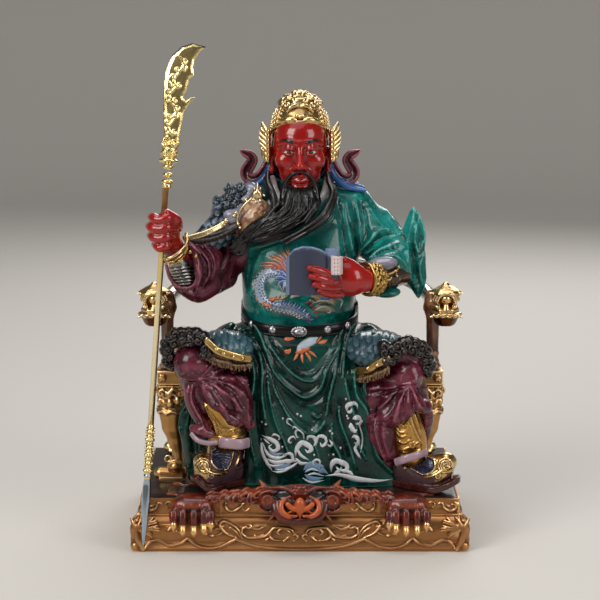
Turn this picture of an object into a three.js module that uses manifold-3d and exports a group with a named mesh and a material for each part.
// A painted and gilded statuette of a bearded general in robe and armour, seated on a horseshoe throne.
// He holds a long-handled glaive in one fist and a book in the other hand. His boots and the throne
// stand on a two-tier plinth with a tiger skin spread over it, head and forepaws hanging over its front.
// Millimetres, +Z up, the viewer in front at -Y. The origin is the centre of the plinth's underside.

import * as THREE from "three";
import { mergeVertices } from "three/addons/utils/BufferGeometryUtils.js";
import Module from "manifold-3d";

const wasm = await Module();
wasm.setup();

// Driving sizes

const FIT_GAP = 0.35;

const PLINTH_WIDTH = 287;
const PLINTH_DEPTH = 210;
const LOWER_TIER_HEIGHT = 29;
const UPPER_TIER_HEIGHT = 16;
const TIER_SETBACK = 7;
const MOULDING_REACH = 5;
const FOOT_BALL_RADIUS = 4.2;
const RELIEF = 1.1;
const PANEL_MARGIN = 4;
const PANEL_DEPTH = 0.8;

const PELT_THICKNESS = 2.2;
const PELT_OVERHANG = 13;
const PAW_SPREAD = 92.5;

const FIGURE_HEIGHT = 341;

const SEAT_WIDTH = 249;
const SEAT_DEPTH = 130;
const SEAT_RAIL_HEIGHT = 11.6;
const LEG_BLOCK = 25;
const LEG_FOOT_RADIUS = 8;
const ARM_HEIGHT = 60;
const ARM_SPREAD = 236;
const ARM_RADIUS = 5.5;
const POST_RADIUS = 5;
const LANTERN_WIDTH = 33;
const LANTERN_HEIGHT = 43;
const CREST_RISE = 22;
const SPLAT_WIDTH = 52;
const SPLAT_THICKNESS = 6;

const SHAFT_RADIUS = 2.6;
const SHAFT_LENGTH = 268;
const GRIP_CLEARANCE = 0.4;
const TIP_LIFT = 5;
const TIP_FORWARD = 7.5;
const TIP_INSET = 10;
const SPIKE_LENGTH = 62;
const BLADE_LENGTH = 101;
const BLADE_THICKNESS = 2.6;

// Places that follow from them

const plinthTop = LOWER_TIER_HEIGHT + UPPER_TIER_HEIGHT;
const upperFront = -PLINTH_DEPTH / 2 + TIER_SETBACK;
const footing = plinthTop + PELT_THICKNESS + FIT_GAP;
const share = FIGURE_HEIGHT / 341;
const throneFloor = plinthTop + FIT_GAP;
const seatTop = plinthTop + 99 * share;
const seatFront = -42 * share;
const seatBack = seatFront + SEAT_DEPTH;
const armTop = seatTop + ARM_HEIGHT;

// The pose is drawn at a figure 341 high above the plinth, and kept as shares of the real height.
const at = (x, y, z) => new THREE.Vector3(x * share, y * share, plinthTop + z * share);

// Solids from three.js geometries

function solid(geometry, matrix) {
  const bare = geometry.index ? geometry.toNonIndexed() : geometry.clone();
  bare.deleteAttribute("normal");
  bare.deleteAttribute("uv");
  if (matrix) bare.applyMatrix4(matrix);
  const merged = mergeVertices(bare, 1e-4);
  return new wasm.Manifold(
    new wasm.Mesh({
      numProp: 3,
      vertProperties: merged.attributes.position.array,
      triVerts: new Uint32Array(merged.index.array),
    }),
  );
}

function joined(solids) {
  return solids.reduce((whole, next) => whole.add(next));
}

function geometryOf(manifold) {
  const mesh = manifold.getMesh();
  const geometry = new THREE.BufferGeometry();
  const points = new Float32Array(mesh.numVert * 3);
  for (let i = 0; i < mesh.numVert; i++) {
    for (let axis = 0; axis < 3; axis++) points[3 * i + axis] = mesh.vertProperties[mesh.numProp * i + axis];
  }
  geometry.setAttribute("position", new THREE.BufferAttribute(points, 3));
  geometry.setIndex(new THREE.BufferAttribute(new Uint32Array(mesh.triVerts), 1));
  geometry.computeVertexNormals();
  return geometry;
}

// The largest body of a solid: crumbs left by a cut and pockets sealed by a join go.
function whole(manifold) {
  const geometry = geometryOf(manifold);
  const index = geometry.index.array;
  const leader = Int32Array.from({ length: geometry.attributes.position.count }, (_, n) => n);
  const find = (n) => {
    while (leader[n] !== n) n = leader[n] = leader[leader[n]];
    return n;
  };
  for (let i = 0; i < index.length; i += 3) {
    leader[find(index[i])] = find(index[i + 1]);
    leader[find(index[i + 2])] = find(index[i + 1]);
  }
  const faces = new Map();
  for (let i = 0; i < index.length; i += 3) faces.set(find(index[i]), (faces.get(find(index[i])) ?? 0) + 1);
  const largest = [...faces].sort((a, b) => b[1] - a[1])[0][0];
  geometry.setIndex([...index].filter((_, i) => find(index[i - (i % 3)]) === largest));
  return solid(geometry);
}

const moved = (x, y, z) => new THREE.Matrix4().makeTranslation(x, y, z);

function block(low, high) {
  const size = high.map((value, axis) => value - low[axis]);
  const middle = high.map((value, axis) => (value + low[axis]) / 2);
  return solid(new THREE.BoxGeometry(...size), moved(...middle));
}

// A turned piece: radii against heights, spun about Z.
function turned(profile, place, sides = 12) {
  const points = profile.map(([radius, height]) => new THREE.Vector2(radius, height));
  const upright = new THREE.Matrix4().makeRotationX(Math.PI / 2);
  return solid(new THREE.LatheGeometry(points, sides), place.clone().multiply(upright));
}

// A length lofted through level stations [x, y, z, radius], with flat-sided rings and both ends closed.
function loft(stations, sides = 8) {
  const points = [];
  const faces = [];
  stations.forEach(([x, y, z, radius], level) => {
    for (let i = 0; i < sides; i++) {
      const turn = ((i + 0.5) / sides) * 2 * Math.PI;
      points.push(x + radius * Math.cos(turn), y + radius * Math.sin(turn), z);
      const next = (i + 1) % sides;
      const [a, b] = [level * sides + i, level * sides + next];
      if (level > 0) faces.push(a - sides, b - sides, b, a - sides, b, a);
      if (level === 0 && i > 0 && i < sides - 1) faces.push(0, next, i);
      if (level === stations.length - 1 && i > 0 && i < sides - 1) faces.push(level * sides, a, b);
    }
  });
  const geometry = new THREE.BufferGeometry();
  geometry.setAttribute("position", new THREE.Float32BufferAttribute(points, 3));
  geometry.setIndex(faces);
  return solid(geometry);
}

function bead(centre, radii, detail = 6) {
  const stretch = new THREE.Matrix4().makeScale(...radii);
  const place = moved(...centre).multiply(stretch);
  return solid(new THREE.SphereGeometry(1, detail, Math.max(4, detail / 2)), place);
}

// A round or oval rod swept along a smooth curve through the points, closed at both ends.
function rod(points, width, depth, steps, sides = 8) {
  const section = new THREE.Shape();
  section.absellipse(0, 0, width, depth, 0, 2 * Math.PI, false, 0);
  const path = new THREE.CatmullRomCurve3(points);
  const sweep = { steps, bevelEnabled: false, curveSegments: sides, extrudePath: path };
  return solid(new THREE.ExtrudeGeometry(section, sweep));
}

// Clay: a grid of distances to the surface, negative inside, that shapes are pressed on to or cut from

class Clay {
  constructor(low, high, cell) {
    this.low = low;
    this.cell = cell;
    this.count = high.map((value, axis) => Math.ceil((value - low[axis]) / cell) + 1);
    this.field = new Float32Array(this.count[0] * this.count[1] * this.count[2]).fill(3 * cell);
  }

  index(i, j, k) {
    return i + this.count[0] * (j + this.count[1] * k);
  }

  within(shape, reach, change) {
    const first = [];
    const last = [];
    for (let axis = 0; axis < 3; axis++) {
      first[axis] = Math.max(0, Math.floor((shape.low[axis] - reach - this.low[axis]) / this.cell));
      last[axis] = Math.min(
        this.count[axis] - 1,
        Math.ceil((shape.high[axis] + reach - this.low[axis]) / this.cell),
      );
    }
    for (let k = first[2]; k <= last[2]; k++) {
      for (let j = first[1]; j <= last[1]; j++) {
        for (let i = first[0]; i <= last[0]; i++) {
          const n = this.index(i, j, k);
          const x = this.low[0] + i * this.cell;
          const y = this.low[1] + j * this.cell;
          const z = this.low[2] + k * this.cell;
          this.field[n] = change(this.field[n], shape.distance(x, y, z));
        }
      }
    }
  }

  add(shape, blend = 2) {
    this.within(shape, blend + this.cell * 2, (old, distance) => smoothLeast(old, distance, blend));
    return this;
  }

  cut(shape, blend = 1) {
    this.within(shape, blend + this.cell, (old, distance) => -smoothLeast(-old, distance, blend));
    return this;
  }

  value(point) {
    return this.field[this.nearest(point)];
  }

  // Drops loose lumps and fills sealed hollows, which neither the air outside nor the seed point can reach.
  settle(seed) {
    const reach = (start, inside) => {
      const seen = new Uint8Array(this.field.length);
      const queue = [start];
      seen[start] = 1;
      const step = [1, this.count[0], this.count[0] * this.count[1]];
      while (queue.length > 0) {
        const n = queue.pop();
        for (let axis = 0; axis < 3; axis++) {
          const place = Math.floor(n / step[axis]) % this.count[axis];
          for (const way of [-1, 1]) {
            if (place + way < 0 || place + way >= this.count[axis]) continue;
            const m = n + way * step[axis];
            if (seen[m] || this.field[m] < 0 !== inside) continue;
            seen[m] = 1;
            queue.push(m);
          }
        }
      }
      return seen;
    };
    const air = reach(0, false);
    const body = reach(this.nearest(seed), true);
    for (let n = 0; n < this.field.length; n++) {
      if (this.field[n] < 0 ? !body[n] : !air[n]) this.field[n] = this.field[n] < 0 ? this.cell : -this.cell;
    }
  }

  nearest(point) {
    const whole = point.map((value, axis) => (value - this.low[axis]) / this.cell);
    return this.index(
      ...whole.map((value, axis) => Math.max(0, Math.min(this.count[axis] - 1, Math.round(value)))),
    );
  }

  // Where a line from far outside first meets the clay, looking along one axis.
  meet(point, axis, towards) {
    const probe = [...point];
    const reach = this.count[axis] * this.cell;
    const start = towards > 0 ? this.low[axis] : this.low[axis] + reach;
    for (let gone = 0; gone < reach; gone += this.cell / 2) {
      probe[axis] = start + towards * gone;
      if (this.value(probe) < 0) return probe;
    }
    return null;
  }
}

function smoothLeast(a, b, blend) {
  if (blend <= 0) return Math.min(a, b);
  const h = Math.max(blend - Math.abs(a - b), 0) / blend;
  return Math.min(a, b) - (h * h * blend) / 4;
}

const bounds = (points, reach) => {
  const box = new THREE.Box3().setFromPoints(points).expandByScalar(reach);
  return { low: box.min.toArray(), high: box.max.toArray() };
};

// An egg of three half-sizes, turned about Y by lean and then about Z by swing, in degrees.
function egg(centre, radii, lean = 0, swing = 0) {
  const turn = new THREE.Matrix4()
    .makeRotationZ(THREE.MathUtils.degToRad(-swing))
    .premultiply(new THREE.Matrix4().makeRotationY(THREE.MathUtils.degToRad(-lean))).elements;
  const [a, b, c] = radii.map((radius) => radius * share);
  const reach = Math.max(a, b, c);
  const distance = (x, y, z) => {
    const dx = x - centre.x;
    const dy = y - centre.y;
    const dz = z - centre.z;
    const u = (turn[0] * dx + turn[4] * dy + turn[8] * dz) / a;
    const v = (turn[1] * dx + turn[5] * dy + turn[9] * dz) / b;
    const w = (turn[2] * dx + turn[6] * dy + turn[10] * dz) / c;
    const far = Math.hypot(u, v, w);
    return (far * (far - 1)) / Math.max(1e-9, Math.hypot(u / a, v / b, w / c));
  };
  return { ...bounds([centre], reach), distance };
}

// A limb, lock or fold: round, tapering, along a smooth curve through its points.
function limb(points, radii, steps = 4) {
  const path = new THREE.CatmullRomCurve3(points).getPoints((points.length - 1) * steps);
  const thick = path.map((_, i) => {
    const along = (i / (path.length - 1)) * (radii.length - 1);
    const stage = Math.min(radii.length - 2, Math.floor(along));
    return share * THREE.MathUtils.lerp(radii[stage], radii[stage + 1], along - stage);
  });
  const distance = (x, y, z) => {
    let least = Infinity;
    for (let i = 0; i + 1 < path.length; i++) {
      const a = path[i];
      const b = path[i + 1];
      const bx = b.x - a.x;
      const by = b.y - a.y;
      const bz = b.z - a.z;
      const dot = (x - a.x) * bx + (y - a.y) * by + (z - a.z) * bz;
      const t = Math.max(0, Math.min(1, dot / (bx * bx + by * by + bz * bz)));
      const gap = Math.hypot(x - a.x - bx * t, y - a.y - by * t, z - a.z - bz * t);
      least = Math.min(least, gap - thick[i] - (thick[i + 1] - thick[i]) * t);
    }
    return least;
  };
  return { ...bounds(path, Math.max(...thick)), distance };
}

// Cloth hanging in level sections [height, middle x, middle y, half width, half depth], with folds round it.
function drape(sections, folds = 0, foldDepth = 0, squareness = 2.4) {
  const rows = sections.map(([z, x, y, a, b]) => ({ ...at(x, y, z), a: a * share, b: b * share }));
  const low = [Infinity, Infinity, rows[0].z];
  const high = [-Infinity, -Infinity, rows[rows.length - 1].z];
  for (const row of rows) {
    low[0] = Math.min(low[0], row.x - row.a);
    low[1] = Math.min(low[1], row.y - row.b);
    high[0] = Math.max(high[0], row.x + row.a);
    high[1] = Math.max(high[1], row.y + row.b);
  }
  const distance = (x, y, z) => {
    const level = Math.max(low[2], Math.min(high[2], z));
    let stage = 0;
    while (stage < rows.length - 2 && rows[stage + 1].z < level) stage++;
    const below = rows[stage];
    const above = rows[stage + 1];
    const t = THREE.MathUtils.smoothstep(level, below.z, above.z);
    const mix = (key) => below[key] + (above[key] - below[key]) * t;
    const dx = (x - mix("x")) / mix("a");
    const dy = (y - mix("y")) / mix("b");
    const wave = 1 + foldDepth * Math.sin(folds * Math.atan2(dy, dx));
    const far = (Math.abs(dx) ** squareness + Math.abs(dy) ** squareness) ** (1 / squareness) / wave;
    return Math.max((far - 1) * Math.min(mix("a"), mix("b")), low[2] - z, z - high[2]);
  };
  return { low, high, distance };
}

// A fold, rib or lock laid over the clay: its points are as seen from one side, and it rides the surface.
function laid(clay, seen, radii, lift = 0, axis = 1, towards = 1) {
  const points = [];
  for (const [x, y, z] of seen) {
    const found = clay.meet(at(x, y, z).toArray(), axis, towards);
    if (!found) continue;
    found[axis] += towards * (radii[0] * 0.45 - lift) * share;
    points.push(new THREE.Vector3(...found));
  }
  return limb(points, radii, 3);
}

const fromFront = (clay, seen, radii, lift) =>
  laid(clay, seen.map(([x, z]) => [x, 0, z]), radii, lift, 1, 1);

const fromBack = (clay, seen, radii, lift) =>
  laid(clay, seen.map(([x, z]) => [x, 0, z]), radii, lift, 1, -1);

// The surface of the clay, closed, from the six tetrahedra of each cell

const TETRAHEDRA = [
  [1, 3, 7, 1],
  [1, 5, 7, -1],
  [2, 3, 7, -1],
  [2, 6, 7, 1],
  [4, 5, 7, 1],
  [4, 6, 7, -1],
];

function surfaceOf(clay) {
  const { field, count, low, cell } = clay;
  const step = [1, count[0], count[0] * count[1]];
  const offset = (corner) =>
    (corner & 1 ? step[0] : 0) + (corner & 2 ? step[1] : 0) + (corner & 4 ? step[2] : 0);
  const points = [];
  const faces = [];
  const seen = new Map();

  const crossing = (n, a, b) => {
    const [from, to] = a < b ? [a, b] : [b, a];
    const key = (n + offset(from)) * 8 + (to - from);
    if (seen.has(key)) return seen.get(key);
    const start = n + offset(from);
    const end = n + offset(to);
    const t = THREE.MathUtils.clamp(field[start] / (field[start] - field[end]), 0.02, 0.98);
    for (let axis = 0; axis < 3; axis++) {
      const place = Math.floor(start / step[axis]) % count[axis];
      const shift = (to >> axis) & 1 && !((from >> axis) & 1) ? t : 0;
      points.push(low[axis] + (place + shift) * cell);
    }
    seen.set(key, points.length / 3 - 1);
    return points.length / 3 - 1;
  };

  for (let k = 0; k + 1 < count[2]; k++) {
    for (let j = 0; j + 1 < count[1]; j++) {
      for (let i = 0; i + 1 < count[0]; i++) {
        const n = clay.index(i, j, k);
        let inside = 0;
        for (let corner = 0; corner < 8; corner++) if (field[n + offset(corner)] < 0) inside++;
        if (inside === 0 || inside === 8) continue;
        for (const [b, c, d, hand] of TETRAHEDRA) {
          const corners = [0, b, c, d];
          const full = corners.filter((corner) => field[n + offset(corner)] < 0);
          if (full.length === 0 || full.length === 4) continue;
          const empty = corners.filter((corner) => !full.includes(corner));
          const order = full.length === 3 ? [...empty, ...full] : [...full, ...empty];
          let odd = hand < 0;
          for (let p = 0; p < 4; p++) {
            for (let q = p + 1; q < 4; q++) {
              if (corners.indexOf(order[p]) > corners.indexOf(order[q])) odd = !odd;
            }
          }
          if (full.length === 3) odd = !odd;
          const edge = (p, q) => crossing(n, order[p], order[q]);
          const ring =
            full.length === 2
              ? [edge(0, 2), edge(0, 3), edge(1, 3), edge(1, 2)]
              : [edge(0, 1), edge(0, 2), edge(0, 3)];
          if (odd) ring.reverse();
          for (let p = 1; p + 1 < ring.length; p++) faces.push([ring[0], ring[p], ring[p + 1]]);
        }
      }
    }
  }
  return { points: Float64Array.from(points), faces };
}

// The same surface with fewer faces: the edge whose loss bends the surface least goes first

const MOST_NEIGHBOURS = 12;

const determinant = (a, b, c, d, e, f, g, h, i) => a * (e * i - f * h) - b * (d * i - f * g) + c * (d * h - e * g);

class Thinner {
  constructor({ points, faces }) {
    this.points = points;
    this.faces = Int32Array.from(faces.flat());
    this.living = faces.length;
    const count = points.length / 3;
    this.around = Array.from({ length: count }, () => []);
    this.quadric = new Float64Array(count * 10);
    this.version = new Int32Array(count);
    this.heap = [];
    faces.forEach((face, n) => face.forEach((v) => this.around[v].push(n)));
    for (let n = 0; n < this.living; n++) this.addPlane(n);
    for (const [a, b, c] of faces) {
      if (a < b) this.weigh(a, b);
      if (b < c) this.weigh(b, c);
      if (c < a) this.weigh(c, a);
    }
  }

  // The normal, as long as twice the area, of face n with corner v put at x, y, z.
  normal(n, out, v = -1, x = 0, y = 0, z = 0) {
    const { points, faces } = this;
    const [a, b, c] = [faces[3 * n], faces[3 * n + 1], faces[3 * n + 2]];
    const ax = a === v ? x : points[3 * a];
    const ay = a === v ? y : points[3 * a + 1];
    const az = a === v ? z : points[3 * a + 2];
    const ux = (b === v ? x : points[3 * b]) - ax;
    const uy = (b === v ? y : points[3 * b + 1]) - ay;
    const uz = (b === v ? z : points[3 * b + 2]) - az;
    const wx = (c === v ? x : points[3 * c]) - ax;
    const wy = (c === v ? y : points[3 * c + 1]) - ay;
    const wz = (c === v ? z : points[3 * c + 2]) - az;
    out[0] = uy * wz - uz * wy;
    out[1] = uz * wx - ux * wz;
    out[2] = ux * wy - uy * wx;
    return Math.sqrt(out[0] ** 2 + out[1] ** 2 + out[2] ** 2);
  }

  addPlane(n) {
    const normal = [0, 0, 0];
    const area = this.normal(n, normal);
    if (area < 1e-12) return;
    const [nx, ny, nz] = normal.map((value) => value / area);
    const p = 3 * this.faces[3 * n];
    const d = -(nx * this.points[p] + ny * this.points[p + 1] + nz * this.points[p + 2]);
    const plane = [nx * nx, nx * ny, nx * nz, nx * d, ny * ny, ny * nz, ny * d, nz * nz, nz * d, d * d];
    for (let corner = 0; corner < 3; corner++) {
      const start = 10 * this.faces[3 * n + corner];
      for (let i = 0; i < 10; i++) this.quadric[start + i] += plane[i] * area;
    }
  }

  // Puts edge a, b in the heap, with the place its two ends would merge at.
  weigh(a, b) {
    const { points, quadric } = this;
    const q = new Array(10);
    for (let i = 0; i < 10; i++) q[i] = quadric[10 * a + i] + quadric[10 * b + i];
    const mx = (points[3 * a] + points[3 * b]) / 2;
    const my = (points[3 * a + 1] + points[3 * b + 1]) / 2;
    const mz = (points[3 * a + 2] + points[3 * b + 2]) / 2;
    const long =
      (points[3 * a] - points[3 * b]) ** 2 + (points[3 * a + 1] - points[3 * b + 1]) ** 2 +
      (points[3 * a + 2] - points[3 * b + 2]) ** 2;
    const hold = 1e-3 * (q[0] + q[4] + q[7]) + 1e-9;
    const [xx, yy, zz] = [q[0] + hold, q[4] + hold, q[7] + hold];
    const [rx, ry, rz] = [hold * mx - q[3], hold * my - q[6], hold * mz - q[8]];
    const det = determinant(xx, q[1], q[2], q[1], yy, q[5], q[2], q[5], zz);
    let x = determinant(rx, q[1], q[2], ry, yy, q[5], rz, q[5], zz) / det;
    let y = determinant(xx, rx, q[2], q[1], ry, q[5], q[2], rz, zz) / det;
    let z = determinant(xx, q[1], rx, q[1], yy, ry, q[2], q[5], rz) / det;
    if (!((x - mx) ** 2 + (y - my) ** 2 + (z - mz) ** 2 < long)) [x, y, z] = [mx, my, mz];
    const bend =
      q[0] * x * x + 2 * q[1] * x * y + 2 * q[2] * x * z + 2 * q[3] * x + q[4] * y * y +
      2 * q[5] * y * z + 2 * q[6] * y + q[7] * z * z + 2 * q[8] * z + q[9];
    const cost = Math.max(bend, 0) + 1e-3 * long;
    const entry = { a, b, x, y, z, cost, stamp: this.version[a] + this.version[b] };
    let n = this.heap.push(entry) - 1;
    while (n > 0) {
      const parent = (n - 1) >> 1;
      if (this.heap[parent].cost <= cost) break;
      this.heap[n] = this.heap[parent];
      n = parent;
    }
    this.heap[n] = entry;
  }

  cheapest() {
    const { heap } = this;
    const top = heap[0];
    const last = heap.pop();
    if (heap.length === 0) return top;
    let n = 0;
    for (;;) {
      let child = 2 * n + 1;
      if (child >= heap.length) break;
      if (child + 1 < heap.length && heap[child + 1].cost < heap[child].cost) child++;
      if (heap[child].cost >= last.cost) break;
      heap[n] = heap[child];
      n = child;
    }
    heap[n] = last;
    return top;
  }

  neighbours(v) {
    const found = [];
    for (const n of this.around[v]) {
      for (let corner = 0; corner < 3; corner++) {
        const w = this.faces[3 * n + corner];
        if (w !== v && !found.includes(w)) found.push(w);
      }
    }
    return found;
  }

  touches(n, v) {
    return this.faces[3 * n] === v || this.faces[3 * n + 1] === v || this.faces[3 * n + 2] === v;
  }

  // Whether the faces round v keep facing as they do when v moves, leaving out those that touch other.
  keepsFacing(v, other, { x, y, z }) {
    const before = [0, 0, 0];
    const after = [0, 0, 0];
    for (const n of this.around[v]) {
      if (this.touches(n, other)) continue;
      const old = this.normal(n, before);
      const now = this.normal(n, after, v, x, y, z);
      const agree = before[0] * after[0] + before[1] * after[1] + before[2] * after[2];
      if (now < 1e-3 || agree < 0.3 * old * now) return false;
    }
    return true;
  }

  collapse(entry) {
    const { a, b } = entry;
    const near = this.neighbours(a);
    const far = this.neighbours(b);
    const shared = far.filter((v) => near.includes(v));
    if (shared.length !== 2 || near.length + far.length - 4 > MOST_NEIGHBOURS) return;
    if (shared.some((v) => this.around[v].length <= 3)) return;
    if (!this.keepsFacing(a, b, entry) || !this.keepsFacing(b, a, entry)) return;
    for (const n of this.around[b]) {
      if (this.touches(n, a)) {
        for (const v of [a, ...shared]) this.around[v] = this.around[v].filter((m) => m !== n);
        this.faces[3 * n] = -1;
        this.living--;
      } else {
        const corner = [0, 1, 2].find((place) => this.faces[3 * n + place] === b);
        this.faces[3 * n + corner] = a;
        this.around[a].push(n);
      }
    }
    this.around[b] = [];
    this.points[3 * a] = entry.x;
    this.points[3 * a + 1] = entry.y;
    this.points[3 * a + 2] = entry.z;
    for (let i = 0; i < 10; i++) this.quadric[10 * a + i] += this.quadric[10 * b + i];
    this.version[a]++;
    for (const v of this.neighbours(a)) this.weigh(a, v);
  }

  thinTo(faces) {
    while (this.living > faces && this.heap.length > 0) {
      const entry = this.cheapest();
      if (this.around[entry.a].length === 0 || this.around[entry.b].length === 0) continue;
      if (entry.stamp === this.version[entry.a] + this.version[entry.b]) this.collapse(entry);
    }
    const geometry = new THREE.BufferGeometry();
    geometry.setAttribute("position", new THREE.Float32BufferAttribute(this.points, 3));
    const kept = [];
    for (let n = 0; n < this.faces.length; n += 3) {
      if (this.faces[n] >= 0) kept.push(this.faces[n], this.faces[n + 1], this.faces[n + 2]);
    }
    geometry.setIndex(kept);
    return geometry;
  }
}

function modelled(clay, seed, faces) {
  clay.settle(seed);
  return solid(new Thinner(surfaceOf(clay)).thinTo(faces));
}

// The plinth: two moulded tiers, cast with ball feet, corner leaves and scrolls in low relief

function tierProfile(half, grow = 0) {
  const outline = new THREE.Shape();
  const upper = half - TIER_SETBACK + grow;
  const lip = LOWER_TIER_HEIGHT + grow;
  outline.moveTo(-half - grow, -grow);
  outline.lineTo(half + grow, -grow);
  outline.lineTo(half + grow, LOWER_TIER_HEIGHT * 0.1);
  outline.lineTo(half - MOULDING_REACH * 0.5 + grow, LOWER_TIER_HEIGHT * 0.3);
  outline.quadraticCurveTo(half - MOULDING_REACH * 0.4 + grow, lip * 0.9, upper, lip);
  outline.lineTo(upper, plinthTop + grow);
  outline.lineTo(-upper, plinthTop + grow);
  outline.lineTo(-upper, lip);
  const left = -half + MOULDING_REACH * 0.5 - grow;
  outline.quadraticCurveTo(-half + MOULDING_REACH * 0.4 - grow, lip * 0.9, left, LOWER_TIER_HEIGHT * 0.3);
  outline.lineTo(-half - grow, LOWER_TIER_HEIGHT * 0.1);
  return outline;
}

function plinthMass(grow = 0) {
  const long = { depth: 2 * PLINTH_WIDTH, bevelEnabled: false, curveSegments: 4 };
  const acrossTurn = new THREE.Matrix4().makeRotationX(Math.PI / 2).setPosition(0, PLINTH_WIDTH, 0);
  const alongTurn = new THREE.Matrix4()
    .makeRotationZ(Math.PI / 2)
    .multiply(new THREE.Matrix4().makeRotationX(Math.PI / 2))
    .setPosition(-PLINTH_WIDTH, 0, 0);
  const across = solid(new THREE.ExtrudeGeometry(tierProfile(PLINTH_WIDTH / 2, grow), long), acrossTurn);
  const along = solid(new THREE.ExtrudeGeometry(tierProfile(PLINTH_DEPTH / 2, grow), long), alongTurn);
  return across.intersect(along);
}

// A scroll rod in the front face: a spiral that opens out from its eye, then runs off along a tail.
function scroll(x, z, radius, y, hand, tail) {
  const points = [];
  const turns = 1.1;
  for (let i = 0; i <= 7; i++) {
    const angle = (i / 7) * turns * 2 * Math.PI;
    const r = radius * (0.25 + (0.75 * i) / 7);
    points.push(new THREE.Vector3(x + hand * r * Math.cos(angle), y, z + r * Math.sin(angle)));
  }
  points.push(new THREE.Vector3(x - hand * tail, y, z + radius * 0.5));
  return rod(points, RELIEF, RELIEF, 8, 2);
}

function plinth() {
  const pieces = [plinthMass()];
  const front = -PLINTH_DEPTH / 2 + MOULDING_REACH * 0.45;
  const middle = LOWER_TIER_HEIGHT * 0.58;
  for (const side of [-1, 1]) {
    for (const end of [-1, 1]) {
      const foot = [side * (PLINTH_WIDTH / 2 - 4), end * (PLINTH_DEPTH / 2 - 4), FOOT_BALL_RADIUS];
      pieces.push(bead(foot, [FOOT_BALL_RADIUS, FOOT_BALL_RADIUS, FOOT_BALL_RADIUS - 0.1]));
      const inset = (part) => [side * (PLINTH_WIDTH / 2 - part), end * (PLINTH_DEPTH / 2 - part)];
      const stations = [
        [...inset(1.5), LOWER_TIER_HEIGHT * 0.3, 3],
        [...inset(2.6), LOWER_TIER_HEIGHT * 0.55, 6.2],
        [...inset(4.6), LOWER_TIER_HEIGHT * 0.8, 5],
        [...inset(6.4), LOWER_TIER_HEIGHT * 0.98, 1.6],
      ];
      pieces.push(loft(stations, 6));
    }
    pieces.push(scroll(side * 18, middle, 5.5, front, -side, 14));
    pieces.push(scroll(side * 40, middle + 1, 5, front, side, 16));
    pieces.push(scroll(side * 62, middle, 4.2, front, -side, 14));
  }
  let whole = joined(pieces);
  for (const side of [-1, 1]) {
    for (const [from, to] of [[30, PAW_SPREAD - 19], [PAW_SPREAD + 18, PLINTH_WIDTH / 2 - TIER_SETBACK]]) {
      const ends = [side * (from + PANEL_MARGIN), side * (to - PANEL_MARGIN)];
      const low = [Math.min(...ends), upperFront - 1, LOWER_TIER_HEIGHT + PANEL_MARGIN];
      const high = [Math.max(...ends), upperFront + PANEL_DEPTH, plinthTop - PANEL_MARGIN];
      whole = whole.subtract(block(low, high));
    }
  }
  return whole;
}

// The tiger skin: a thin spread hide with the head and two forepaws hanging over the plinth's front

function peltClay() {
  const edge = upperFront - PELT_OVERHANG;
  const clay = new Clay([-128, edge - 14, 6], [128, PLINTH_DEPTH / 2 - 6, plinthTop + 14], 2.8);
  const spot = (x, y, z) => new THREE.Vector3(x, y, z);
  const top = plinthTop + PELT_THICKNESS;
  const hide = (x, y, z) => {
    const ripple = 2.4 * Math.sin(y / 9) + 1.4 * Math.sin(y / 4.3);
    const flank = PAW_SPREAD + 22 - 31 * THREE.MathUtils.smoothstep(y, upperFront + 32, upperFront + 52);
    const wide = Math.abs(x) - flank - ripple;
    const deep = Math.abs(y - 2) - (PLINTH_DEPTH / 2 - TIER_SETBACK - 4);
    return Math.max(wide, deep, z - top, plinthTop - 6 - z);
  };
  const hideBox = { low: [-126, upperFront - 2, plinthTop - 6], high: [126, PLINTH_DEPTH / 2, top] };
  clay.add({ ...hideBox, distance: hide }, 0);
  for (const side of [-1, 1]) {
    const x = side * PAW_SPREAD;
    clay.add(egg(spot(x, upperFront - 1, plinthTop - 3), [18, 13, 8]), 3);
    clay.add(egg(spot(x, upperFront - 5, plinthTop - 13), [16, 8, 10]), 3);
    for (let toe = 0; toe < 4; toe++) {
      const across = x + (toe - 1.5) * 8.6;
      const drop = Math.abs(toe - 1.5) * 1.4;
      const route = [
        spot(across, upperFront - 4, plinthTop - 12),
        spot(across, upperFront - 11, plinthTop - 18 + drop),
        spot(across, upperFront - 13.5, plinthTop - 24 + drop),
      ];
      clay.add(limb(route, [4.4, 4.6, 3.6]), 1);
    }
    clay.add(limb([spot(side * 24, edge + 12, top), spot(side * 46, upperFront + 4, top)], [9, 7]), 4);
    clay.add(limb([spot(side * 44, upperFront + 3, top), spot(side * 74, upperFront + 5, top)], [7, 4]), 3);
    for (let curl = 0; curl < 4; curl++) {
      const x = side * (38 + 10 * curl);
      const drop = 11 - 2.4 * curl;
      const route = [spot(x, upperFront + 1, top + 2), spot(x + side * 5, upperFront - 4, top - drop / 2)];
      clay.add(limb([...route, spot(x + side, upperFront - 4, top - drop)], [4.4, 4, 2.4]), 1.5);
    }
    clay.add(egg(spot(side * 30, edge + 6, plinthTop - 6), [9, 8, 8]), 3);
    clay.add(limb([spot(side * 31, edge + 2, plinthTop - 6), spot(side * 27, edge, 27)], [3.4, 1.6]), 2);
    clay.add(limb([spot(side * 5, edge + 2, top), spot(side * 20, edge + 4, top + 3)], [2.6, 2.2]), 1.5);
    clay.add(egg(spot(side * 11.5, edge - 2, plinthTop - 12), [8.5, 7, 8]), 2);
  }
  clay.add(egg(spot(0, edge + 10, plinthTop - 2), [25, 14, 9]), 4);
  clay.add(egg(spot(0, edge - 1, plinthTop - 14), [17, 8, 7.5]), 3);
  clay.add(egg(spot(0, edge - 5, plinthTop - 6), [6.5, 6, 6]), 2);
  return clay;
}

function pelt() {
  const spread = plinthMass(FIT_GAP);
  return modelled(peltClay(), [0, 0, plinthTop], 860).subtract(spread);
}

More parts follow.
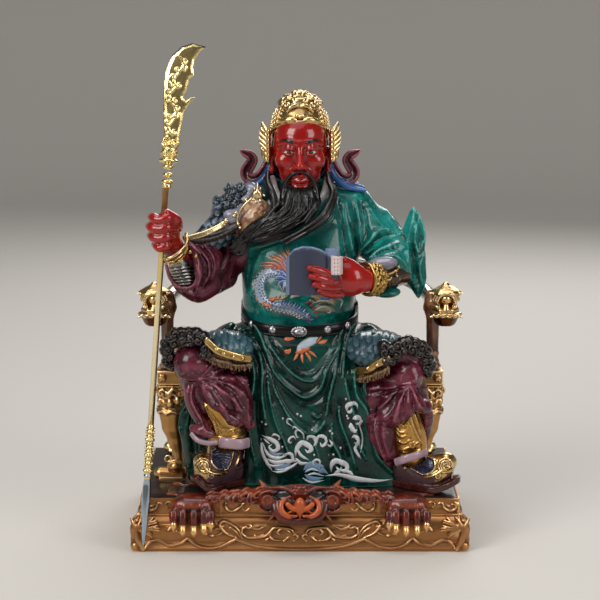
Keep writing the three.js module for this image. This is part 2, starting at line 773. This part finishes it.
// The throne: a horseshoe rail on lantern-headed arms, over a seat frame on cabriole legs

function cabriole(x, y, out, carved, grow) {
  const top = seatTop - SEAT_RAIL_HEIGHT;
  const low = throneFloor - grow;
  const drop = top - throneFloor;
  const stages = [
    [1, -2, low, 6.4],
    [1.5, -2.5, low + 4, LEG_FOOT_RADIUS],
    [-0.5, -2, low + 9, LEG_FOOT_RADIUS * 0.85],
    [-4, 0, low + 15, 5.4],
    [-3, 0.5, top - drop * 0.62, 7],
    [2, -1, top - drop * 0.4, 10.6],
    [3.5, -2.5, top - drop * 0.22, 12.6],
    [0, 0, top + 0.5, 11],
  ];
  const grown = stages.map(([along, forward, z, r]) => [x + out * along, y + forward, z, r + grow]);
  const pieces = [loft(grown)];
  if (!carved) return pieces;
  pieces.push(bead([x + out * 8, y - 6, low + 8], [5 + grow, 5 + grow, 5 + grow]));
  for (const [across, forward] of [[-8, -8], [3, -13], [12, -6]]) {
    const petal = [x + out * across, y + forward, top - drop * 0.3];
    pieces.push(bead(petal, [5.4 + grow, 4.6 + grow, 9 + grow]));
  }
  return pieces;
}

function lantern(x, y, grow) {
  const half = LANTERN_WIDTH / 2 + grow;
  const foot = armTop - LANTERN_HEIGHT * 0.6;
  const high = (part) => foot + LANTERN_HEIGHT * part;
  const profile = [
    [0, high(0) - grow],
    [half * 0.45, high(0) - grow],
    [half * 0.8, high(0.14)],
    [half, high(0.2)],
    [half * 0.98, high(0.28)],
    [half * 0.72, high(0.32)],
    [half * 0.7, high(0.66)],
    [half * 1.02, high(0.7)],
    [half * 0.86, high(0.84)],
    [half * 0.4, high(0.94)],
    [0, high(1) + grow],
  ];
  const place = moved(x, y, 0).multiply(new THREE.Matrix4().makeRotationZ(Math.PI / 6));
  const pieces = [turned(profile, place, 6)];
  pieces.push(bead([x, y - half * 0.72, high(0.5)], [half * 0.42, half * 0.3, LANTERN_HEIGHT * 0.16]));
  return pieces;
}

// The rail's plan, from one arm's end at 0 round the back to the other's at 1.
const BACK_POST = 0.37;
const railX = (part) => (ARM_SPREAD / 2 - 2) * Math.cos(Math.PI * part);
const railY = (part) => seatFront + 8 + (seatBack - seatFront - 16) * Math.sin(Math.PI * part) ** 0.75;

function throneSolids(grow = 0) {
  const half = SEAT_WIDTH / 2;
  const legX = half - LEG_BLOCK / 2;
  const legY = seatFront + LEG_BLOCK / 2;
  const backY = seatBack - LEG_BLOCK / 2;
  const armY = seatFront + 2;
  const armX = ARM_SPREAD / 2;
  const pieces = [];
  pieces.push(
    block(
      [-half - grow, seatFront - grow, seatTop - SEAT_RAIL_HEIGHT - grow],
      [half + grow, seatBack + grow, seatTop + grow],
    ),
  );
  for (const side of [-1, 1]) {
    pieces.push(...cabriole(side * legX, legY, side, true, grow));
    pieces.push(...cabriole(side * legX, backY, side, false, grow));
    const postX = side * (armX - 1);
    const post = [
      [0, seatTop - 1],
      [8 + grow, seatTop - 1],
      [8 + grow, seatTop + 3 + grow],
      [POST_RADIUS + 2 + grow, seatTop + 8],
      [POST_RADIUS - 1 + grow, seatTop + 12],
      [POST_RADIUS + grow, armTop],
      [0, armTop],
    ];
    pieces.push(turned(post, moved(postX, legY, 0), 8));
    pieces.push(turned(post, moved(side * railX(BACK_POST), railY(BACK_POST), 0), 8));
    pieces.push(...lantern(side * (armX + 5), armY, grow));
  }
  const crest = [];
  for (let i = 0; i <= 12; i++) {
    const part = i / 12;
    const rise = CREST_RISE * Math.sin(Math.PI * part) ** 1.5;
    crest.push(new THREE.Vector3(-railX(part), railY(part), armTop + rise));
  }
  pieces.push(rod(crest, ARM_RADIUS * 1.15 + grow, ARM_RADIUS + grow, 22, 4));
  const splat = [
    [-SPLAT_WIDTH / 2 - grow, seatBack - 14 - grow, seatTop - 1],
    [SPLAT_WIDTH / 2 + grow, seatBack - 14 + SPLAT_THICKNESS + grow, armTop + CREST_RISE],
  ];
  pieces.push(block(...splat));
  return joined(pieces);
}

// The glaive: blade, ferrule, guard, shaft, beaded butt and spike, along its own upright axis

function blade() {
  const tall = BLADE_LENGTH / 101;
  const outline = new THREE.Shape();
  outline.moveTo(-2, 0);
  const spot = (u, v) => new THREE.Vector2(u, v * tall);
  outline.splineThru([spot(-3.7, 17), spot(-6.2, 43), spot(-7, 61), spot(-6, 77), spot(-1.6, 89.5)]);
  outline.splineThru([spot(6.4, 97.5), spot(15.4, 101), spot(27, 98.5)]);
  outline.splineThru([spot(21.8, 94), spot(18, 87), spot(17.2, 80), spot(18.4, 73.5)]);
  outline.splineThru([spot(14.4, 70), spot(13, 61), spot(10, 55)]);
  outline.splineThru([spot(12, 51.5), spot(16.1, 54.6), spot(21, 55.4)]);
  outline.splineThru([spot(16.3, 50.5), spot(11.8, 42), spot(9.2, 21), spot(6.5, 0)]);
  const plate = { depth: BLADE_THICKNESS, bevelEnabled: false, curveSegments: 2 };
  const upright = new THREE.Matrix4().makeRotationX(Math.PI / 2).setPosition(0, BLADE_THICKNESS / 2, 0);
  return solid(new THREE.ExtrudeGeometry(outline, plate), upright);
}

const glaiveTip = new THREE.Vector3(-PLINTH_WIDTH / 2 + TIP_INSET, -PLINTH_DEPTH / 2 - TIP_FORWARD, TIP_LIFT);
const glaiveHead = at(-112.6, -65.5, 286);

function glaivePlace() {
  const up = glaiveHead.clone().sub(glaiveTip).normalize();
  const across = new THREE.Vector3(1, 0, 0).addScaledVector(up, -up.x).normalize();
  const away = new THREE.Vector3().crossVectors(up, across);
  return new THREE.Matrix4().makeBasis(across, away, up).setPosition(glaiveTip);
}

function glaive() {
  const place = glaivePlace();
  const shaftFoot = SPIKE_LENGTH;
  const guard = SPIKE_LENGTH + SHAFT_LENGTH;
  const r = SHAFT_RADIUS;
  const profile = [[0, 0], [r * 0.55, SPIKE_LENGTH * 0.18], [r, SPIKE_LENGTH * 0.6]];
  profile.push([r * 1.5, shaftFoot - 3]);
  for (let ring = 0; ring < 4; ring++) {
    const low = shaftFoot + ring * 7;
    profile.push([r * 1.15, low], [r * 1.75, low + 3]);
  }
  profile.push([r, shaftFoot + 30]);
  profile.push([r, guard - 20], [r * 1.6, guard - 19], [r * 1.7, guard - 13], [r * 1.2, guard - 12]);
  profile.push([r * 1.7, guard - 4], [r * 3.4, guard - 2], [r * 3.4, guard], [r * 1.6, guard + 1]);
  profile.push([0, guard + 1]);
  const pieces = [turned(profile, place, 10)];
  const raised = place.clone().multiply(moved(0, 0, guard));
  pieces.push(blade().transform(columns(raised)));
  const throat = [[0, -0.5], [5.6, -0.5], [6.2, 8], [7.4, 15], [5.4, 21], [0, 22]];
  const flat = new THREE.Matrix4().makeScale(1.15, 0.55, 1);
  pieces.push(turned(throat, raised.clone().multiply(moved(2.5, 0, 0)).multiply(flat), 8));
  return joined(pieces);
}

function columns(matrix) {
  return matrix.elements.slice();
}

// The figure, modelled in clay and then thinned

function torso(clay) {
  clay.add(drape([[96, 0, 10, 58, 46], [125, 0, 4, 54, 46], [150, -1, -2, 49, 42], [190, 0, 4, 52, 38],
    [225, 0, 8, 56, 32], [248, 0, 8, 36, 26], [262, 0, 4, 18, 20]]), 3);
  clay.add(limb([at(-46, 8, 238), at(0, 8, 246), at(46, 8, 238)], [19, 18, 19]), 8);
  clay.add(egg(at(-2, -12, 156), [44, 36, 30]), 8);
}

function head(clay) {
  clay.add(drape([[246, 0, 12, 54, 28], [254, 0, 12, 44, 24], [266, 0, 10, 33, 22], [290, 0, 6, 28, 24],
    [318, 0, 4, 29, 28]]), 2);
  clay.add(egg(at(0, -8, 292), [25, 27, 34]), 3);
  clay.add(egg(at(0, -20, 270), [18, 17, 12]), 6);
  clay.add(limb([at(0, -33, 304), at(0, -36.5, 294), at(0, -39, 288)], [2.6, 3, 4]), 2);
  for (const side of [-1, 1]) {
    clay.add(egg(at(side * 11, -28, 284), [7, 6, 7]), 4);
    const browLine = [at(side * 4, -33.5, 303), at(side * 11, -33, 306), at(side * 18, -27, 304)];
    clay.add(limb(browLine, [2, 2.2, 1.6]), 2);
    clay.add(egg(at(side * 10, -31.5, 298.5), [3.6, 2.4, 2]), 1);
    clay.add(limb([at(side * 4, -36.5, 281), at(side * 13, -34.5, 278), at(side * 18, -31, 266),
      at(side * 17, -38, 248)], [2, 2.6, 2.6, 2]), 1.5);
    clay.add(egg(at(side * 25, -2, 284), [3, 5, 8]), 1);
  }
  clay.add(limb([at(-7, -34, 276), at(0, -36, 276.5), at(7, -34, 276)], [1.6, 2.2, 1.6]), 1.5);
}

function crown(clay) {
  clay.add(egg(at(0, 0, 311), [29.5, 29.5, 31]), 1);
  clay.add(limb([at(-27, -6, 313), at(-17, -26, 318), at(0, -33, 319), at(17, -26, 318), at(27, -6, 313)],
    [3.6, 3.6, 4, 3.6, 3.6]), 1.5);
  for (let ring = 0; ring < 3; ring++) {
    const count = 9 - 2 * ring;
    for (let i = 0; i < count; i++) {
      const turn = Math.PI * (0.12 + (0.76 * i) / (count - 1));
      const reach = 27.5 - 6.5 * ring;
      const place = at(-reach * Math.cos(turn), -reach * Math.sin(turn), 325 + 6.5 * ring);
      clay.add(egg(place, [4.2, 4, 4.2]), 1.5);
    }
  }
  clay.add(egg(at(0, -8, 334), [9, 9, 7]), 2);
  for (const side of [-1, 1]) {
    clay.add(egg(at(side * 31.5, -3, 299), [5, 9, 15], side * 12), 1.5);
    for (let leaf = 0; leaf < 4; leaf++) {
      const low = at(side * 29, -6, 288 + 6 * leaf);
      clay.add(limb([low, at(side * 37, -6, 297 + 6 * leaf)], [2.4, 1.4]), 1);
    }
    clay.add(limb([at(side * 26, 6, 258), at(side * 38, 6, 258), at(side * 49, 6, 265), at(side * 48, 6, 276),
      at(side * 45, 6, 283), at(side * 52.5, 6, 289)], [3.4, 4.2, 4.2, 3.8, 3.2, 1.8]), 1);
  }
}

function beard(clay) {
  const locks = 7;
  for (let i = 0; i < locks; i++) {
    const t = i / (locks - 1);
    const mix = (left, right) => left + (right - left) * t;
    const lock = [
      at(mix(-16, 16), -31, 265),
      at(mix(-20, 19), -43, 246),
      at(mix(-35, 4), -46, mix(229, 226)),
      at(mix(-49, -15), -43, mix(217, 212)),
      at(mix(-58, -33), -37, mix(213, 204)),
    ];
    clay.add(limb(lock, [4, 4.6, 5.4, 5, 2.6]), 1);
  }
  const mass = [at(0, -31, 262), at(-2, -38, 245), at(-18, -38, 228), at(-38, -36, 213)];
  clay.add(limb(mass, [13, 13, 10, 8]), 4);
  const temple = [at(-25, -14, 270), at(-29, -26, 257), at(-25, -38, 241), at(-34, -40, 226)];
  clay.add(limb(temple, [3, 3.6, 4, 4]), 1);
  clay.add(limb([at(24, -14, 272), at(29, -28, 256), at(26, -38, 241), at(13, -45, 230), at(-6, -47, 220)],
    [3, 3.6, 4, 4.4, 3.6]), 1);
}

function armouredArm(clay) {
  clay.add(limb([at(-50, 6, 236), at(-70, -2, 212), at(-80, -16, 190)], [20, 21, 22]), 5);
  clay.add(limb([at(-80, -16, 190), at(-90, -38, 194), at(-100, -56, 200)], [23, 21, 16]), 5);
  clay.add(limb([at(-66, -8, 178), at(-84, -30, 172), at(-100, -50, 184)], [11, 10, 7]), 5);
  clay.add(limb([at(-96, -50, 196), at(-107, -66, 208), at(-112, -71, 216)], [12, 10, 9]), 2);
  clay.add(egg(at(-55, -3, 238), [22, 24, 17], -25), 3);
  for (let i = 0; i < 6; i++) {
    const turn = i * 1.05;
    clay.add(egg(at(-57 + 13 * Math.cos(turn), -12, 240 + 9 * Math.sin(turn)), [6, 6, 5.5]), 1.5);
  }
  clay.add(limb([at(-46, -26, 232), at(-68, -28, 224), at(-90, -38, 214)], [8, 8, 5]), 3);
  clay.add(egg(at(-42, -28, 233), [16, 9, 19], 28), 2);
  clay.add(limb([at(-56, -30, 222), at(-56, -34, 238), at(-44, -33, 251)], [2, 2, 2.4]), 1);
  for (const [x, z] of [[-74, 196], [-66, 188], [-84, 182]]) {
    clay.cut(fromFront(clay, [[x + 12, z + 22], [x, z + 8], [x - 4, z - 10]], [2.4, 2.6, 1.6], 2.4), 2);
  }
}

function fist(clay) {
  const grip = glaiveHead.clone().sub(glaiveTip);
  const middle = glaiveTip.clone().addScaledVector(grip, 0.816);
  clay.add(egg(middle.clone().add(new THREE.Vector3(2, 4, 0)), [12, 11, 17]), 2);
  for (let finger = 0; finger < 4; finger++) {
    const z = 12.5 - 8.2 * finger;
    const knuckle = (x, y) => middle.clone().add(new THREE.Vector3(x, y, z + 1));
    const curled = [knuckle(9, -4), knuckle(2, -11), knuckle(-7, -9), knuckle(-10, 2)];
    clay.add(limb(curled, [4, 4.6, 4.6, 4]), 0.8);
  }
  const thumb = (x, y, z) => middle.clone().add(new THREE.Vector3(x, y, z));
  clay.add(limb([thumb(10, 4, 4), thumb(10, -5, 12), thumb(2, -9, 18)], [5, 4.6, 3.6]), 1);
}

function robedArm(clay) {
  clay.add(limb([at(46, 8, 236), at(68, 2, 213), at(86, -8, 191)], [19, 21, 20]), 6);
  clay.add(limb([at(88, -8, 192), at(78, -34, 190), at(68, -50, 188)], [20, 17, 14]), 4);
  clay.add(limb([at(80, -30, 186), at(66, -52, 184), at(52, -66, 183)], [13, 12, 10]), 2);
  clay.add(limb([at(97, -2, 237), at(98, 2, 216), at(98, 0, 196), at(96, -8, 174), at(95, -10, 164)],
    [2, 11, 14, 11, 2]), 4);
  clay.add(limb([at(92, -6, 210), at(99, -16, 190), at(94, -20, 174)], [8, 8, 4]), 4);
  for (const start of [0, 1, 2]) {
    const shift = start * 9;
    clay.add(fromFront(clay, [[52 + shift, 236 - shift], [56 + shift, 215 - shift * 0.4], [62 + shift, 200]],
      [2, 2.6, 2]), 2);
  }
}

function openHand(clay) {
  clay.add(egg(at(40, -72, 184), [16, 10, 14], 10), 3);
  for (let finger = 0; finger < 4; finger++) {
    const z = 192 - 5.4 * finger;
    clay.add(limb([at(34, -78, z), at(22, -85, z - 1), at(10 + finger * 1.5, -89, z - 2)], [4.4, 4, 3]), 0.8);
  }
  clay.add(limb([at(42, -76, 192), at(34, -80, 199), at(27, -78, 206)], [4.6, 4, 3]), 1);
}

function belt(clay) {
  const ring = [];
  for (let i = 0; i <= 12; i++) {
    const turn = (i / 12) * 2 * Math.PI;
    ring.push(at(50 * Math.cos(turn), -4 + 44 * Math.sin(turn), 144 + 5 * Math.sin(turn)));
  }
  clay.add(limb(ring, [5, 5], 2), 1);
  for (const [x, y] of [[-46, -22], [-26, -41], [0, -49], [26, -41], [46, -22]]) {
    clay.add(egg(at(x, y, 140), x ? [4.2, 4.2, 4.2] : [9, 4.5, 5]), 1);
  }
}

function legs(clay) {
  for (const side of [-1, 1]) {
    const thigh = [at(side * 28, 12, 116), at(side * 60, -30, 116), at(side * 87, -62, 112)];
    clay.add(limb(thigh, [22, 22, 23]), 4);
    const ankle = side < 0 ? -68 : 96;
    clay.add(limb([at(side * 87, -62, 110), at((side * 87 + ankle) / 2, -64, 74), at(ankle, -63, 40)],
      [24, 23, 17]), 5);
    const flare = at(side * 59 + (ankle - side * 80) * 0.1, -54, 62);
    clay.add(limb([at(side * 70, -56, 92), flare, at(ankle - side * 20, -56, 30)], [14, 17, 9]), 5);
    const out = side < 0 ? -1 : 1;
    const heel = ankle - out * 8;
    clay.add(limb([at(ankle, -62, 45), at(ankle, -62, 14)], [14, 14]), 2);
    clay.add(limb([at(heel, -48, 11), at(ankle + out * 8, -66, 11), at(ankle + out * 20, -78, 15),
      at(ankle + out * 27, -81, 27)], [12, 12.5, 12, 8]), 2);
    for (let i = 0; i < 9; i++) {
      const turn = Math.PI * (-0.15 + (i / 8) * 1.15);
      const curl = at(side * (92 + 21 * Math.cos(turn)), -66 + (i % 2) * 7, 114 + 20 * Math.sin(turn));
      clay.add(egg(curl, [6.5, 9, 5.6]), 2);
    }
    clay.add(egg(at(side * 66, -46, 124), [22, 34, 15], side * 14, side * -38), 3);
    clay.add(fromFront(clay, [[side * 46, 110], [side * 60, 113], [side * 76, 121]], [4.6, 4.6, 4]), 1);
    clay.add(fromFront(clay, [[side * 47, 101], [side * 60, 104], [side * 75, 110]], [4, 4.4, 3.6]), 1);
    for (let fold = 0; fold < 4; fold++) {
      const low = side * (62 + fold * 12) + (ankle - side * 80) * 0.4;
      const crease = [[side * 86, 88], [(side * 86 + low) / 2, 70], [low, 46]];
      clay.add(fromFront(clay, crease, [1.8, 2.8, 2.2]), 2);
    }
    clay.add(fromFront(clay, [[side * 56, 84], [side * 76, 84], [side * 102, 96]], [2.4, 3.2, 2.4]), 2);
  }
}

function skirt(clay) {
  clay.add(drape([[2, 28, -54, 60, 16], [30, 24, -54, 58, 17], [70, 15, -55, 55, 17], [100, 7, -54, 51, 17],
    [122, 0, -40, 49, 24], [140, 0, -12, 50, 42]], 0, 0, 3), 3);
  const runs = [
    [[-42, 128], [-38, 96], [-34, 60], [-26, 16]],
    [[-34, 130], [-22, 96], [-14, 60], [-8, 12]],
    [[-24, 126], [-4, 84], [14, 62], [20, 20]],
    [[38, 130], [22, 96], [4, 72], [-10, 60]],
    [[44, 128], [34, 92], [28, 56], [34, 12]],
    [[52, 122], [46, 84], [46, 48], [54, 10]],
    [[58, 112], [62, 72], [68, 36], [78, 8]],
  ];
  for (const run of runs) clay.add(fromFront(clay, run, [2.4, 3.4, 3.6, 3.4], 0.6), 2.6);
  clay.add(fromFront(clay, [[-30, 118], [0, 96], [28, 112]], [2, 2.8, 2]), 2);
  clay.add(fromFront(clay, [[-26, 102], [2, 82], [28, 98]], [2, 2.8, 2]), 2);
  clay.add(limb([at(-94, -46, 92), at(-97, -47, 50), at(-92, -48, 8)], [5, 8, 7]), 3);
  clay.add(limb([at(-84, -47, 80), at(-84, -48, 40), at(-80, -49, 6)], [7, 7, 6]), 4);
}

function backRobe(clay) {
  for (const x of [-34, -18, 0, 18, 34]) {
    clay.add(fromBack(clay, [[x * 0.6, 232], [x * 0.9, 190], [x * 1.15, 120]], [2, 3.4, 4]), 3);
  }
  clay.add(fromFront(clay, [[52, 246], [28, 222], [0, 205], [-30, 192]], [2.2, 2.6, 2.6, 2]), 1.5);
  clay.add(fromFront(clay, [[44, 214], [20, 200], [-6, 190]], [2, 2.4, 1.8]), 1.5);
}

// The open book: a thick leaf bent over the fingers, its far pages rolled back on themselves.
function book() {
  const bends = [[-11, -83], [-6, -89], [6, -90.5], [18, -87], [25, -83], [30, -84.5], [31, -89], [27, -90]];
  const line = new THREE.CatmullRomCurve3(bends.map(([x, y]) => at(x, y, 0))).getPoints(11);
  const half = 2.3 * share;
  const side = (sign) =>
    line.map((point, i) => {
      const before = line[Math.max(0, i - 1)];
      const after = line[Math.min(line.length - 1, i + 1)];
      const along = after.clone().sub(before).normalize();
      return new THREE.Vector2(point.x - sign * half * along.y, point.y + sign * half * along.x);
    });
  const outline = new THREE.Shape([...side(1), ...side(-1).reverse()]);
  const geometry = new THREE.ExtrudeGeometry(outline, { depth: 41 * share, bevelEnabled: false });
  return solid(geometry, moved(0, 0, at(0, 0, 172).z));
}

function figure() {
  const clay = new Clay(at(-134, -102, -2).toArray(), at(142, 56, 346).toArray(), 2.9 * share);
  torso(clay);
  skirt(clay);
  legs(clay);
  armouredArm(clay);
  robedArm(clay);
  belt(clay);
  backRobe(clay);
  head(clay);
  crown(clay);
  beard(clay);
  fist(clay);
  openHand(clay);
  const floor = block([-300, -300, -100], [300, 300, footing]);
  const bore = [
    [0, 100],
    [SHAFT_RADIUS + GRIP_CLEARANCE, 100],
    [SHAFT_RADIUS + GRIP_CLEARANCE, SPIKE_LENGTH + SHAFT_LENGTH - 22],
    [0, SPIKE_LENGTH + SHAFT_LENGTH - 22],
  ];
  return modelled(clay, at(0, 0, 160).toArray(), 3900)
    .add(book())
    .subtract(floor)
    .subtract(throneSolids(FIT_GAP))
    .subtract(turned(bore, glaivePlace(), 10));
}

// The whole statuette

const FINISHES = {
  plinth: { color: 0xa9743a, roughness: 0.38, metalness: 0.75 },
  tiger_skin: { color: 0x8c2a12, roughness: 0.25, metalness: 0.2 },
  throne: { color: 0xb5803f, roughness: 0.32, metalness: 0.8 },
  seated_figure: { color: 0x0e6b58, roughness: 0.22, metalness: 0.1 },
  glaive: { color: 0xe6c469, roughness: 0.2, metalness: 1 },
};

const SOLIDS = {
  plinth: plinth(),
  tiger_skin: pelt(),
  throne: throneSolids(),
  seated_figure: figure(),
  glaive: glaive(),
};

const statuette = new THREE.Group();
for (const [name, made] of Object.entries(SOLIDS)) {
  const mesh = new THREE.Mesh(geometryOf(whole(made)), new THREE.MeshStandardMaterial(FINISHES[name]));
  mesh.name = name;
  statuette.add(mesh);
}

export default statuette;
